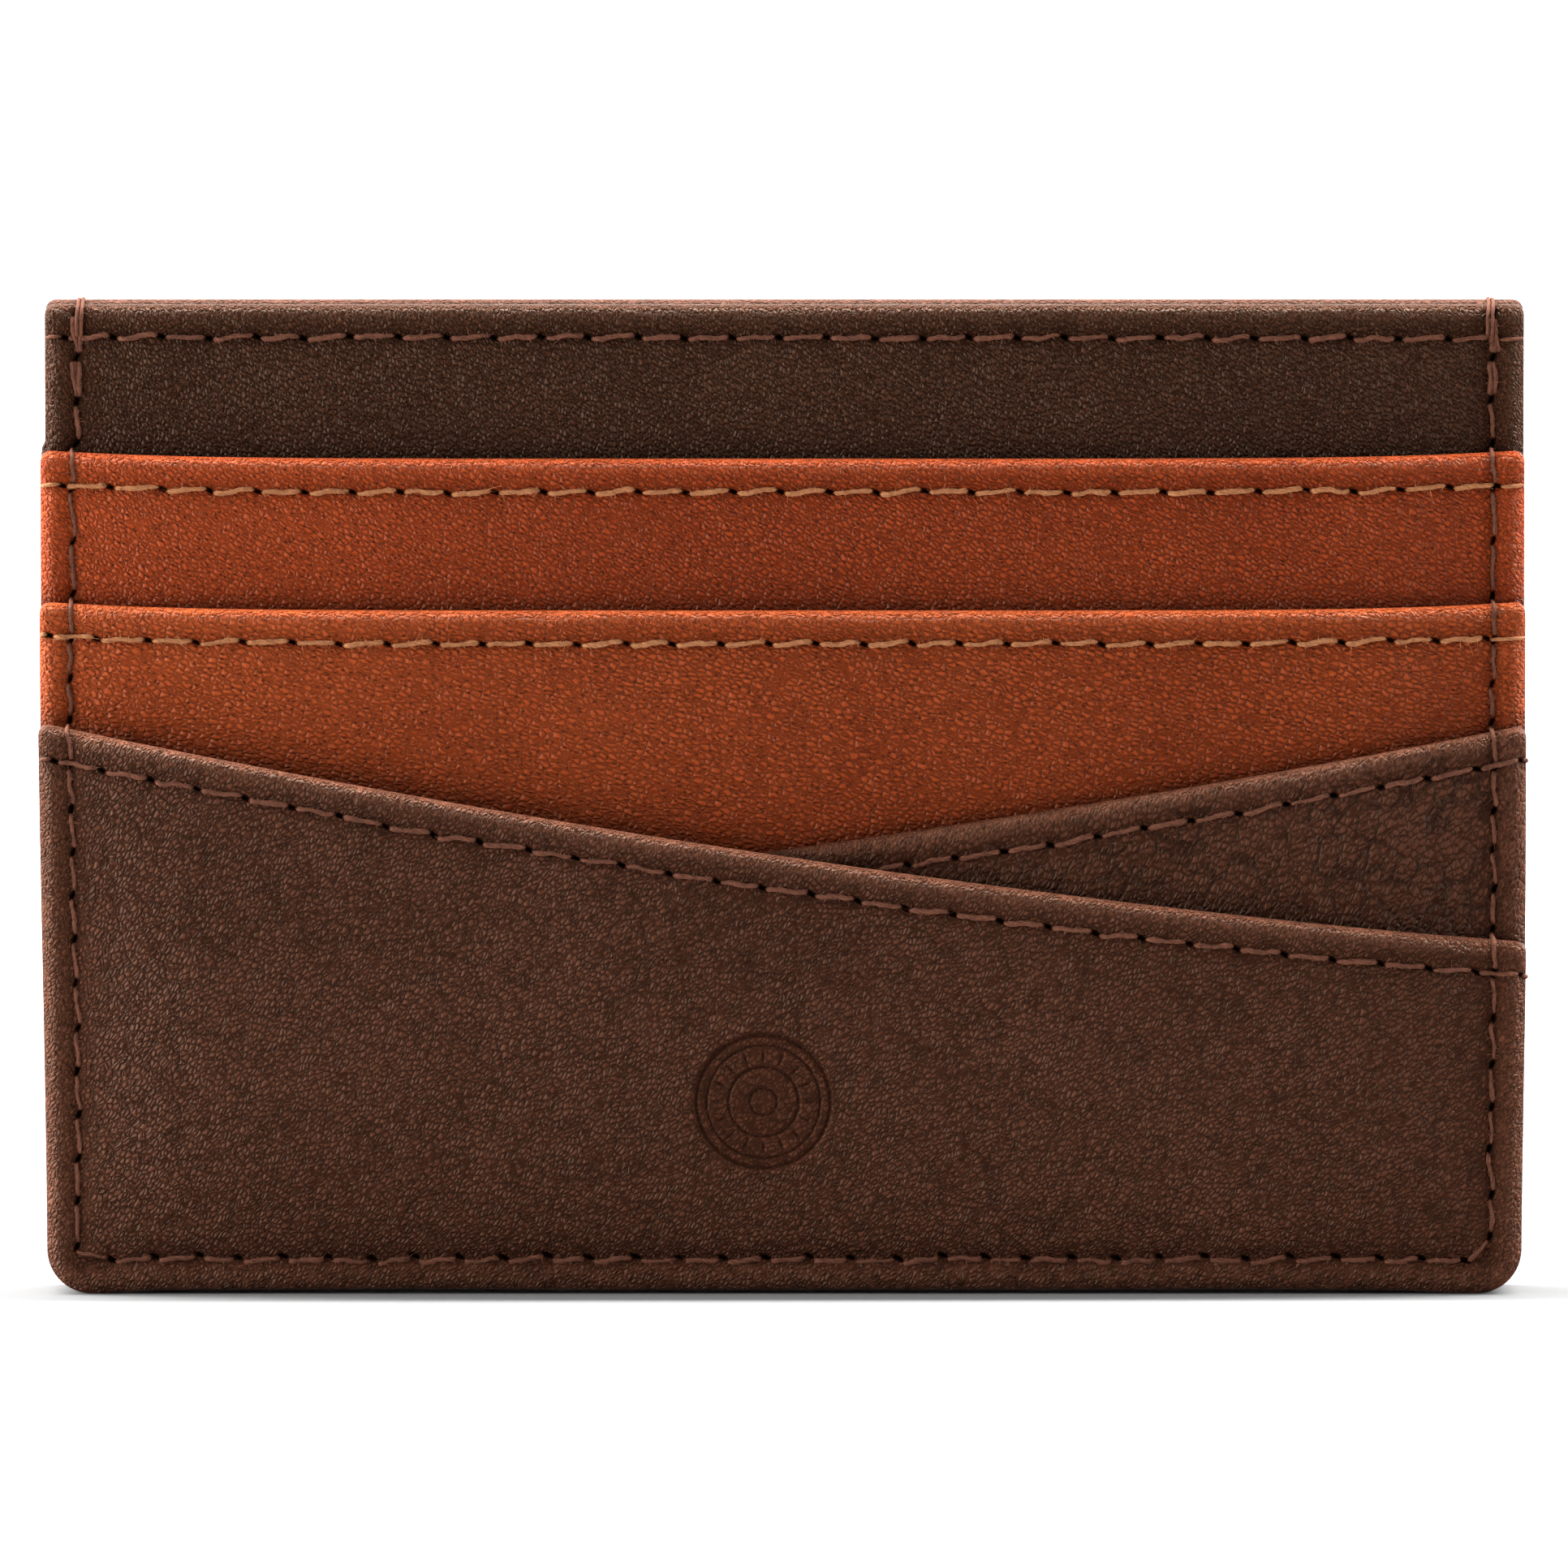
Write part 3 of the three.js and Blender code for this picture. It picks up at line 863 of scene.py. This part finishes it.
def front_depth(points):
    """The depth of the foremost layer at each point, for the seam through all of them."""
    y = np.zeros(len(points))
    covered = np.zeros(len(points), bool)
    for layer in LAYERS:
        here = ~covered & (points[:, 1] < layer.mouth_at(points[:, 0]) + 0.12)
        if layer is LAYERS[-1]:
            here = ~covered
        if here.any():
            y[here] = surface_at(layer, points[here])
        covered |= here
    return y


def eased_depth(points):
    """front_depth, with each step from layer to layer drawn out as a taut thread would."""
    span = np.linspace(-0.45, 0.45, 7)
    up = np.abs(np.abs(points[:, 0]) - SEAM_X) < 0.6
    samples = [front_depth(points + np.array([0, d]) * up[:, None]) for d in span]
    weight = np.exp(-(span / 0.3) ** 2)
    eased = (np.array(samples) * weight[:, None]).sum(0) / weight.sum()
    return np.minimum(eased, front_depth(points))


def perimeter_front():
    """The perimeter row on the front, with the doubled stitches and the top corners' loops."""
    strand = Strand(301)
    last = len(PERIMETER.holes) - 1
    for k in range(last):
        a, b = ends_of(PERIMETER, k)
        on_side = abs(a[0]) > SEAM_X - 1
        radius = THREAD_RADIUS * (0.85 if on_side else 1.0)
        slack = strand.rng.normal(0, 0.04)
        stitch(strand, a, b, eased_depth, radius, -1, fuzz=12, slack=slack)
        if min(k, last - 1 - k) < 2:
            for shift in (-0.2, 0.24):
                over = np.array([shift, 0])
                stitch(strand, a + over, b + over * 0.6, eased_depth, radius, -1, arch=0.1,
                       slack=-slack)
    for s in (-1, 1):
        for shift, lift in ((0.0, 0.05), (0.3, 0.08)):
            top_loop(strand, s, shift, lift)
    return strand


def top_loop(strand, s, shift, lift):
    """Thread over the top edge, from the front row to the back row."""
    x = s * (SEAM_X - shift)
    top = float(LAYERS[-1].mouth(x))
    back_top = float(BACK.mouth(x))
    wander = float(side_wander(np.array([[x, top]]))[0])
    front, back = LAYERS[-1].front, BACK.front
    points = np.array([
        [x, front + 0.5, top - 2.3],
        [x, front - 0.12, top - 2.0],
        [x, front - 0.2, top - 1.0],
        [x + 0.05, front - 0.1, top - 0.35],
        [x + 0.1, front + 0.45, top + lift],
        [x + 0.1, (front + back) / 2, back_top + lift - 0.05],
        [x + 0.1, back - 0.35, back_top + lift],
        [x + 0.05, back + 0.1, back_top - 0.2],
        [x, back + 0.2, back_top - 1.0],
        [x, back + 0.12, back_top - 2.0],
        [x, back - 0.5, back_top - 2.4],
    ])
    points[:, 0] += wander
    path = softened(points, 48, 3)
    strand.tube(path, np.full(len(path), THREAD_RADIUS * 0.85), (s, 0, 0))


# --- Materials ---

class Nodes:
    """A short hand for making a material's nodes."""

    def __init__(self, name):
        self.material = bpy.data.materials.new(name)
        self.material.use_nodes = True
        self.tree = self.material.node_tree
        self.shader = self.tree.nodes["Principled BSDF"]

    def make(self, kind, **inputs):
        node = self.tree.nodes.new("ShaderNode" + kind)
        settings = inputs.pop("settings", {})
        for key, value in settings.items():
            setattr(node, key, value)
        for key, value in inputs.items():
            self.put(node.inputs[key.replace("_", " ")], value)
        return node

    def put(self, socket, value):
        if isinstance(value, bpy.types.NodeSocket):
            self.tree.links.new(value, socket)
        else:
            socket.default_value = value

    def maths(self, operation, a, b=0.0, c=0.0):
        node = self.tree.nodes.new("ShaderNodeMath")
        node.operation = operation
        for socket, value in zip(node.inputs, (a, b, c)):
            self.put(socket, value)
        return node.outputs[0]

    def span(self, value, low, high, to_low=0.0, to_high=1.0):
        node = self.tree.nodes.new("ShaderNodeMapRange")
        node.interpolation_type = "SMOOTHSTEP"
        for socket, v in zip(node.inputs, (value, low, high, to_low, to_high)):
            self.put(socket, v)
        return node.outputs[0]

    def mix(self, factor, a, b):
        node = self.tree.nodes.new("ShaderNodeMix")
        node.data_type = "RGBA"
        self.put(node.inputs[0], factor)
        self.put(node.inputs[6], a)
        self.put(node.inputs[7], b)
        return node.outputs[2]

    def attribute(self, name):
        return self.make("Attribute", settings={"attribute_name": name})

    def vector(self, operation, *values):
        node = self.make("VectorMath", settings={"operation": operation})
        for socket, value in zip(node.inputs, values):
            self.put(socket, value)
        return node.outputs[0]

    def bump(self, height, distance):
        return self.make("Bump", Height=height, Strength=1.0, Distance=distance).outputs[0]

    def shade(self, **inputs):
        """Sets the shader's inputs, and gives the finished material."""
        for key, value in inputs.items():
            self.put(self.shader.inputs[key.replace("_", " ")], value)
        return self.material

    def noise(self, vector, scale, detail=2.0, roughness=0.5):
        return self.make("TexNoise", Vector=vector, Scale=scale, Detail=detail,
                         Roughness=roughness).outputs[0]

    def voronoi(self, vector, scale, feature, randomness=1.0):
        node = self.make("TexVoronoi", settings={"feature": feature}, Vector=vector,
                         Scale=scale, Randomness=randomness)
        return node.outputs["Distance"]

    def in_mm(self, turn=0.0, stretch=(1, 1, 1)):
        """Object coordinates in mm, turned about Y and stretched."""
        coords = self.make("TexCoord").outputs["Object"]
        turned_to = self.make("Mapping", Vector=coords, Rotation=(0, turn, 0),
                              Scale=(1000, 1000, 1000)).outputs[0]
        return self.make("Mapping", Vector=turned_to, Scale=stretch).outputs[0]


# Painted shadow: the near-black colour of the needle slits.
SLIT_SHADOW = (0.010, 0.0045, 0.003)


def leather(name, dark, light, domed, net, pore, cell=0.3, turn=0.5, net_light=0.0, creases=0.0,
            contrast=0.5, speckle=0.2, fade=0.0):
    """Grained leather: small domes, slanting pores, and a net of fine creases.

    domed, net, pore and creases are depths, as shares of BUMP. A positive net_light makes the net
    lighter than the leather, and a negative one darker. contrast is how much darker the hollows
    between the domes are, as painted shade, with a painted highlight on their tops; speckle how
    strongly painted glints lighten the finest grain; and fade how much painted light lightens the
    leather towards its left side, where the light is stronger.
    """
    n = Nodes(name)
    plain = n.in_mm()
    noise = n.make("TexNoise", Vector=plain, Scale=0.9, Detail=2.0).outputs["Color"]
    drift = n.vector("SUBTRACT", noise, (0.5, 0.5, 0.5))
    grain = n.vector("MULTIPLY_ADD", drift, (0.25, 0.25, 0.25), n.in_mm(turn, (1, 1, 0.6)))
    lip, wear_and_painted_light, slit, crease, pressed, lip_shadow = [
        n.attribute(share).outputs["Fac"]
        for share in ("lip", "wear_and_painted_light", "slit", "crease", "pressed", "lip_shadow")
    ]

    edge = n.voronoi(grain, 0.8 / cell, "DISTANCE_TO_EDGE", 0.9)
    domes = n.span(edge, 0.0, 0.42)
    broken = n.span(n.noise(plain, 0.7, 3.0, 0.65), 0.38, 0.6, 0.65, 1.0)
    lines = n.maths("MULTIPLY", n.span(edge, 0.02, 0.2, 1.0, 0.0), broken)
    big = n.voronoi(grain, 0.75, "DISTANCE_TO_EDGE")
    broken = n.span(n.noise(plain, 0.5, 2.0), 0.38, 0.56)
    big_lines = n.maths("MULTIPLY", n.span(big, 0.04, 0.13, 1.0, 0.0), broken)
    lip_edge = n.voronoi(n.in_mm(0, (1.2, 1, 0.85)), 2.3, "DISTANCE_TO_EDGE")
    lip_lines = n.maths("MULTIPLY", n.span(lip_edge, 0.0, 0.17, 1.0, 0.0), lip)
    spots = n.voronoi(n.in_mm(turn + 0.3, (1, 1, 0.5)), 0.9 / cell, "F1", 0.95)
    pores = n.span(spots, 0.1, 0.36, 1.0, 0.0)
    lip_spots = n.voronoi(n.in_mm(0.4, (1, 1, 0.8)), 1.9, "F1", 1.0)
    lip_spots = n.maths("MULTIPLY", n.span(lip_spots, 0.15, 0.5, 1.0, 0.0), lip)
    fine = n.noise(plain, 9.0, 3.0, 0.6)
    patch = n.noise(plain, 0.35, 4.0, 0.6)

    height = n.maths("MULTIPLY", fine, 0.2)
    for share, depth in (
        (domes, 0.7 * domed),
        (lines, -net),
        (lip_lines, -0.7),
        (pores, -pore),
        (n.noise(grain, 1.9, 2.0), 0.35),
        (big_lines, -0.5 * creases),
    ):
        height = n.maths("MULTIPLY_ADD", share, depth, height)
    height = n.maths("MULTIPLY", height, n.span(pressed, 0.0, 0.16, 1.0, 0.35))

    wide = n.noise(plain, 0.055, 3.0, 0.55)
    tone = n.maths("MULTIPLY_ADD", wide, 0.9, n.maths("MULTIPLY_ADD", patch, 0.25, -0.175))
    colour = n.mix(n.span(tone, 0.15, 0.85), (*dark, 1), (*light, 1))
    # shade and bright serve as painted shade and painted highlight on the grain, and also as the darker
    # and lighter colours of the leather's own marks.
    shade = tuple(c * 0.3 for c in dark)
    bright = tuple(1.4 * c + more for c, more in zip(light, (0.03, 0.013, 0.006)))
    sideways = n.make("SeparateXYZ", Vector=plain).outputs["X"]
    worn_and_lit = n.maths("MULTIPLY", wear_and_painted_light, n.span(n.noise(plain, 1.3, 3.0), 0.3, 0.75))
    for share, strength, coat in (
        # Painted shade in the hollows between the domes, and a painted highlight on their tops.
        (n.span(domes, 0.0, 0.6, 1.0, 0.0), contrast, shade),
        (n.span(domes, 0.75, 1.0), contrast * 0.22, bright),
        # Painted light: lighter towards the left side, where the light is stronger.
        (n.span(sideways, -50, 10, 1.0, 0.0), fade, bright),
        (lines, abs(net_light), bright if net_light > 0 else shade),
        # Painted glints on the finest grain.
        (n.span(fine, 0.5, 0.68), speckle, bright),
        (pores, 0.75, shade),
        (big_lines, min(creases, 0.9), shade),
        (lip, 0.16, bright),
        (lip_spots, 0.4, shade),
        (lip_lines, 0.4, bright),
        # Lighter edges: partly wear, partly a painted highlight on their rounds, and painted light
        # along the foot.
        (worn_and_lit, 0.55, bright),
        # Painted shade along the seams and round the slits.
        (crease, 0.45, shade),
        (pressed, 0.8, shade),
        # Painted shadow above the mouth of the sheet in front.
        (lip_shadow, 0.75, shade),
        # Painted shadow in the needle slits.
        (slit, 0.85, SLIT_SHADOW),
    ):
        colour = n.mix(n.maths("MULTIPLY", share, strength), colour, (*coat, 1))
    rough = n.maths("MULTIPLY_ADD", pores, 0.4, n.maths("MULTIPLY_ADD", patch, 0.15, 0.28))
    return n.shade(Base_Color=colour, Roughness=rough, Specular_IOR_Level=0.19,
                   Specular_Tint=(1.0, 0.66, 0.42, 1), Normal=n.bump(height, BUMP * MM))


def thread(name, dark, light):
    """Spun polyester: fine fibres that follow the twist, lighter on their crowns."""
    n = Nodes(name)
    ply = n.attribute("ply").outputs["Vector"]
    fibres = n.make("Mapping", Vector=ply, Scale=(1.5, 3.2, 3.2)).outputs[0]
    strands = n.noise(fibres, 2.4, 3.0, 0.65)
    patch = n.noise(n.in_mm(), 1.4, 2.0)
    colour = n.mix(n.span(strands, 0.32, 0.68), (*dark, 1), (*light, 1))
    colour = n.mix(n.maths("MULTIPLY", n.span(patch, 0.45, 0.75), 0.35), colour, (*dark, 1))
    rough = n.maths("MULTIPLY_ADD", strands, 0.2, 0.55)
    return n.shade(Base_Color=colour, Roughness=rough, Specular_IOR_Level=0.2,
                   Normal=n.bump(strands, 0.05 * MM))


def lining_cloth(name):
    """Thin plain-woven cotton."""
    n = Nodes(name)
    bands = [
        n.make("TexWave", settings={"bands_direction": direction}, Vector=n.in_mm(), Scale=1.3,
               Distortion=0.6, Detail=1.0).outputs["Fac"]
        for direction in ("X", "Z")
    ]
    weave = n.maths("MULTIPLY", *bands)
    mottle = n.noise(n.in_mm(), 0.5, 3.0)
    colour = n.mix(weave, (0.016, 0.008, 0.0055, 1), (0.055, 0.027, 0.018, 1))
    colour = n.mix(n.maths("MULTIPLY", mottle, 0.4), colour, (0.03, 0.014, 0.01, 1))
    return n.shade(Base_Color=colour, Roughness=n.maths("MULTIPLY_ADD", weave, -0.1, 0.95),
                   Normal=n.bump(weave, 0.03 * MM))


BROWN = ((0.087, 0.0265, 0.0136), (0.142, 0.0480, 0.0262))
# speckle adds painted glints, and fade painted light towards the left side.
TAN_GRAIN = {"domed": 1.3, "net": 0.6, "net_light": -0.35, "contrast": 0.55, "speckle": 0.28,
             "fade": 0.28}
MATERIALS = {
    "front_pocket": leather("front_pocket_leather", *BROWN, domed=1.3, net=0.5, pore=0.6,
                            cell=0.23, turn=-0.75, net_light=-0.75, creases=0.5, contrast=0.52,
                            speckle=0.12),
    "angled_pocket": leather("angled_pocket_leather", *BROWN, domed=1.0, net=0.5, pore=0.4,
                             cell=0.27, turn=-0.5, net_light=-0.7, creases=1.6, contrast=0.5,
                             speckle=0.12),
    "lower_slot": leather("lower_slot_leather", (0.275, 0.0385, 0.0082), (0.43, 0.0745, 0.0170),
                          pore=0.6, cell=0.27, turn=1.2, **TAN_GRAIN),
    "upper_slot": leather("upper_slot_leather", (0.265, 0.0330, 0.0068), (0.43, 0.0640, 0.0138),
                          pore=0.7, cell=0.24, turn=0.9, **TAN_GRAIN),
    "front_panel": leather("front_panel_leather", (0.045, 0.0135, 0.0062), (0.086, 0.030, 0.0155),
                           domed=1.5, net=0.5, pore=0.8, cell=0.21, net_light=-0.4, contrast=0.8,
                           speckle=0.6),
    "back_panel": leather("back_panel_leather", *BROWN, domed=1.1, net=0.8, pore=0.8,
                          net_light=-0.6, creases=0.3),
}
BROWN_THREAD = thread("brown_thread", (0.05, 0.017, 0.0095), (0.33, 0.12, 0.066))
TAN_THREAD = thread("tan_thread", (0.22, 0.066, 0.021), (0.80, 0.35, 0.15))
LINING = lining_cloth("lining_cloth")


# --- Make the pieces ---

def keep(o, material, slot_name, nodes):
    o.data.materials.append(material)
    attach(o, "root")
    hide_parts(*nodes)


def declare_cut(layer):
    """Works out a leather sheet's outline, and does nothing more with it."""
    x, z = outline_of(layer.mouth).T


for layer in SHEETS:
    o = build_sheet(layer)
    nodes = [layer.face] + ([layer.hem] if layer.hem else [])
    keep(o, MATERIALS[layer.name], f"{layer.name}_leather", nodes)
    declare_cut(layer)

for layer in SHEETS:
    tan = layer.name.endswith("slot")
    o = topstitch(layer).build(f"{layer.name}_topstitch_thread")
    keep(o, TAN_THREAD if tan else BROWN_THREAD, "tan_thread" if tan else "brown_thread",
         [f"{layer.name}_topstitch"])

stop_stitch = run_of_stitches(Strand(303), UPPER_SLOT.stop_seam, UPPER_SLOT)
keep(stop_stitch.build("upper_slot_stop_thread"), BROWN_THREAD, "brown_thread",
     ["upper_slot_stop_stitch"])
for layer in (*LAYERS[2:], BACK):
    o = build_lining(layer, STOP_TOP if layer is UPPER_SLOT else HEM)
    keep(o, LINING, "lining_cloth", [f"{layer.name}_lining"])
keep(perimeter_front().build("perimeter_thread_front"), BROWN_THREAD, "brown_thread",
     ["perimeter_stitch_front"])
perimeter_back = run_of_stitches(Strand(302), PERIMETER, BACK, THREAD_RADIUS * 0.9, 3)
keep(perimeter_back.build("perimeter_thread_back"), BROWN_THREAD, "brown_thread",
     ["perimeter_stitch_back"])


# --- Stage ---

def white(name, grey, strength, rise=None):
    """A matt white that gives light, evenly or rising from none over a stretch of Y in mm."""
    n = Nodes(name)
    if rise:
        depth = n.make("SeparateXYZ", Vector=n.in_mm()).outputs["Y"]
        strength = n.span(depth, *rise, 0.0, strength)
    return n.shade(Base_Color=(grey, grey, grey, 1), Roughness=0.9, Specular_IOR_Level=0.1,
                   Emission_Color=(1, 1, 1, 1), Emission_Strength=strength)


def plane(name, corners, material):
    mesh = bpy.data.meshes.new(name)
    mesh.from_pydata(corners, [], [(0, 1, 2, 3)])
    o = linked(name, mesh)
    o.data.materials.append(material)
    return o


low, high = cad_box
centre = (low + high) / 2
span = high.x - low.x
reach = 30 * span
wall = 11.5 * span
floor_corners = [(sx * reach, sy * reach, low.z) for sx, sy in ((-1, -1), (1, -1), (1, 1), (-1, 1))]
wall_corners = [(-reach, wall, low.z), (reach, wall, low.z), (reach, wall, reach / 2),
                (-reach, wall, reach / 2)]
# The floor brightens far behind the holder, to run into the backdrop.
floor = plane("floor", floor_corners, white("floor_white", 0.26, 0.9, rise=(60, 400)))
floor.visible_glossy = False  # the leather mirrors the softboxes, and not the floor
plane("backdrop", wall_corners, white("backdrop_white", 0.9, 1.0))


def area(name, at, size, power):
    light = bpy.data.lights.new(name, "AREA")
    light.shape = "RECTANGLE"
    light.size, light.size_y = size
    light.energy = power
    o = linked(name, light)
    o.location = at
    o.rotation_euler = (Vector(centre) - Vector(at)).to_track_quat("-Z", "Y").to_euler()


area("left_softbox", (-0.5, -0.13, 0.1), (0.5, 0.5), 3.9)
area("right_softbox", (0.5, -0.13, 0.1), (0.5, 0.5), 0.9)
area("left_rim", (-0.5, 0.06, 0.12), (0.3, 0.5), 3.5)
area("right_rim", (0.5, 0.06, 0.12), (0.3, 0.5), 1.6)
area("overhead_softbox", (0.0, 0.15, 0.9), (2.4, 1.6), 15)
area("overhead_strip", (0.0, 0.12, 0.9), (2.4, 0.1), 62)  # throws a narrow shadow forwards

world = bpy.data.worlds.new("studio")
bpy.context.scene.world = world
world.use_nodes = True
world.node_tree.nodes["Background"].inputs[0].default_value = (1, 1, 1, 1)
world.node_tree.nodes["Background"].inputs[1].default_value = 0.06

# --- Camera: straight on, a long lens, just above the level of the holder's middle ---

HOLDER_SHARE = 0.9472  # of the picture's width
AIM_HEIGHT = 34.5

camera = linked("camera", bpy.data.cameras.new("camera"))
camera.data.lens = 300
distance = span / HOLDER_SHARE * camera.data.lens / camera.data.sensor_width
elevation = math.radians(3)
target = Vector((0, low.y, AIM_HEIGHT * MM))
camera.location = target + distance * Vector((0, -math.cos(elevation), math.sin(elevation)))
camera.rotation_euler = (target - camera.location).to_track_quat("-Z", "Y").to_euler()
camera.data.clip_start, camera.data.clip_end = 0.05, 20
bpy.context.scene.camera = camera
bpy.context.scene.view_settings.view_transform = "Standard"
